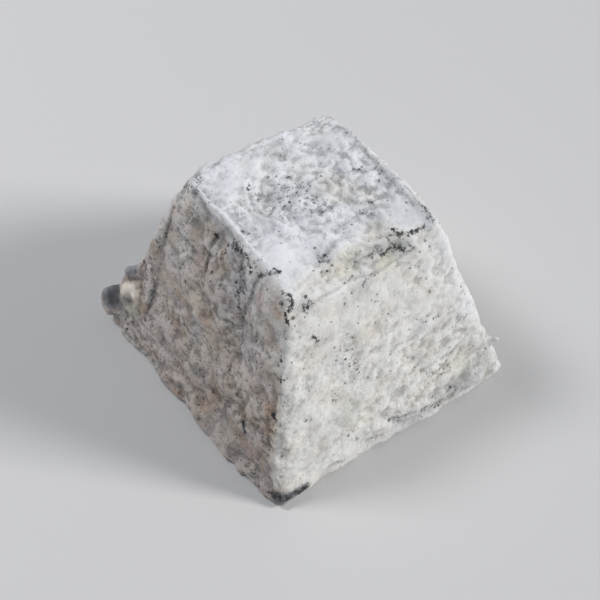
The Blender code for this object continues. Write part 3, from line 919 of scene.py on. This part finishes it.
# Crumb mottle and painted shade: the colour darkens along the same valleys that the bump sinks.
grain_and_wrinkle_shade = 0.85 * (crumb - 0.5) + 0.14 * ridges - 0.15 * valleys - 0.10 * fine_valleys
height = (0.30 * crumb + 0.20 * ridges - 0.17 * valleys - 0.15 * fine_valleys) * crinkle_amount
print("the wrinkles take", len(rind.tree.nodes), "nodes")

# %% [markdown]
# ## Specks of ash
#
# Ash is grains that the mould grew over here and there. Small specks and larger spots
# are ragged dots, one to a cell, and the painted amount of ash says how many cells have
# one. Strokes follow the fine valleys, clumps are where much ash lies, and a thin grey
# veil goes round them. The veil is thicker in the valleys, where it is partly painted
# shade.

# %% Specks, strokes and clumps of ash
SPECK_CELL_MM = 0.8
SPECK_RADIUS = 0.36
SPOT_CELL_MM = 1.5
SPOT_RADIUS = 0.24
SMALLEST_DOT = 0.45
DOT_SOFTNESS = 0.12
DRAW_SOFTNESS = 0.08
RAGGEDNESS = 0.5 * MM

shaken = rind.node("ShaderNodeTexNoise", {"noise_dimensions": "3D"},
                   {"Vector": place, "Scale": 1.0 / RAGGEDNESS, "Detail": 1.0}, output="Color")
shake = {0: shaken, 1: (RAGGEDNESS, RAGGEDNESS, RAGGEDNESS), 2: place}
ragged_place = rind.node("ShaderNodeVectorMath", {"operation": "MULTIPLY_ADD"}, shake)


def dots(cell_mm, radius, share):
    """Ragged dots, at most one to a cell, in the share of the cells given."""
    settings = {"voronoi_dimensions": "3D", "feature": "F1"}
    inputs = {"Vector": ragged_place, "Scale": 1.0 / (cell_mm * MM)}
    gap = rind.node("ShaderNodeTexVoronoi", settings, inputs, output="Distance")
    luck = rind.node("ShaderNodeTexVoronoi", settings, inputs, output="Color")
    draw = rind.node("ShaderNodeSeparateColor", {}, {"Color": luck}, output="Red")
    size = rind.node("ShaderNodeSeparateColor", {}, {"Color": luck}, output="Green")
    inside = rind.step(radius * (SMALLEST_DOT + size) - gap, 0.0, DOT_SOFTNESS)
    return inside * rind.step(share - draw, 0.0, DRAW_SOFTNESS)


specks = dots(SPECK_CELL_MM, SPECK_RADIUS, 1.2 * ash_amount + 0.02)
spots = dots(SPOT_CELL_MM, SPOT_RADIUS, 0.9 * ash_amount - 0.06)
cut = rind.noise(place, 1.0, 3.0, 0.6, 0.8)
strokes = rind.step(fine_valleys + cut + 0.9 * ash_amount, 1.70, 1.95)
clumps = rind.step(cut + 0.62 * ash_amount, 0.78, 0.90)
# The veil is ash, thickened in the valleys by the crest: there it is partly painted shade.
veil = rind.step(cut + 0.55 * ash_amount - 0.14 * standing, 0.56, 1.02)
print("ash takes", len(rind.tree.nodes), "nodes so far")

# %% [markdown]
# ## Putting the rind together
#
# What is lit stays pale and what lies in a pit is darker: that sum of crests, mottle,
# grain and fluff shades the painted colour. Where it follows the crests and the wrinkles'
# valleys this is painted shade, and where it follows the mottle and fluff it is the
# mould's own tone. The veil of thin ash goes over it and the dark specks last. Mould is
# dull like felt, so the rind is rough with a little sheen, and ash is a bit smoother.

# %% Put the rind together
PIT_SHADE = 0.33
ASH_COLOUR = (0.022, 0.023, 0.024, 1.0)
THIN_ASH_COLOUR = (0.16, 0.165, 0.175, 1.0)
VEIL_STRENGTH = 0.42
SPECK_STRENGTH = 0.65
SPOT_STRENGTH = 0.85
CLUMP_STRENGTH = 0.95
STROKE_STRENGTH = 0.7
MOULD_ROUGHNESS = 0.92
ASH_SMOOTHNESS = 0.12
BUMP_STRENGTH = 0.9
BUMP_HEIGHT = 0.40 * MM
SHEEN = 0.10
SPECULAR = 0.3

lit = standing * (0.12 + 0.08 * crinkle_amount) + 1.05 * (mottle - 0.5) + grain_and_wrinkle_shade * crinkle_amount
lit = lit + 1.25 * ripeness * (cotton - 0.5) + (0.9 * ripeness + 0.25) * (fluff - 0.5)
# Painted shade in the valleys and pits, mixed with the mould's own mottle.
pits = rind.step(0.22 - lit, 0.0, 0.9) * (0.25 + 0.42 * crinkle_amount)
mould = rind.mix(pits, painted_colour, rind.scaled(painted_colour, PIT_SHADE))
veiled = rind.mix(veil * VEIL_STRENGTH, mould, THIN_ASH_COLOUR)
dark = (specks * SPECK_STRENGTH) | (spots * SPOT_STRENGTH)
dark = dark | (clumps * CLUMP_STRENGTH) | (strokes * STROKE_STRENGTH)
rind.feed(rind.shader.inputs["Base Color"], rind.mix(dark, veiled, ASH_COLOUR))
rind.feed(rind.shader.inputs["Roughness"], MOULD_ROUGHNESS - ASH_SMOOTHNESS * dark)
bump_inputs = {"Strength": BUMP_STRENGTH, "Distance": BUMP_HEIGHT, "Height": height}
rind.feed(rind.shader.inputs["Normal"], rind.node("ShaderNodeBump", {}, bump_inputs))
rind.shader.inputs["Sheen Weight"].default_value = SHEEN
rind.shader.inputs["Specular IOR Level"].default_value = SPECULAR
skin_data.materials.clear()
skin_data.materials.append(rind.material)
print("the rind's material has", len(rind.tree.nodes), "nodes")

# %% [markdown]
# ## Hand over
#
# The skin rides on the cheese's body and replaces its plain solid.

# %% Finish
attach(skin, "root")
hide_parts("cheese")
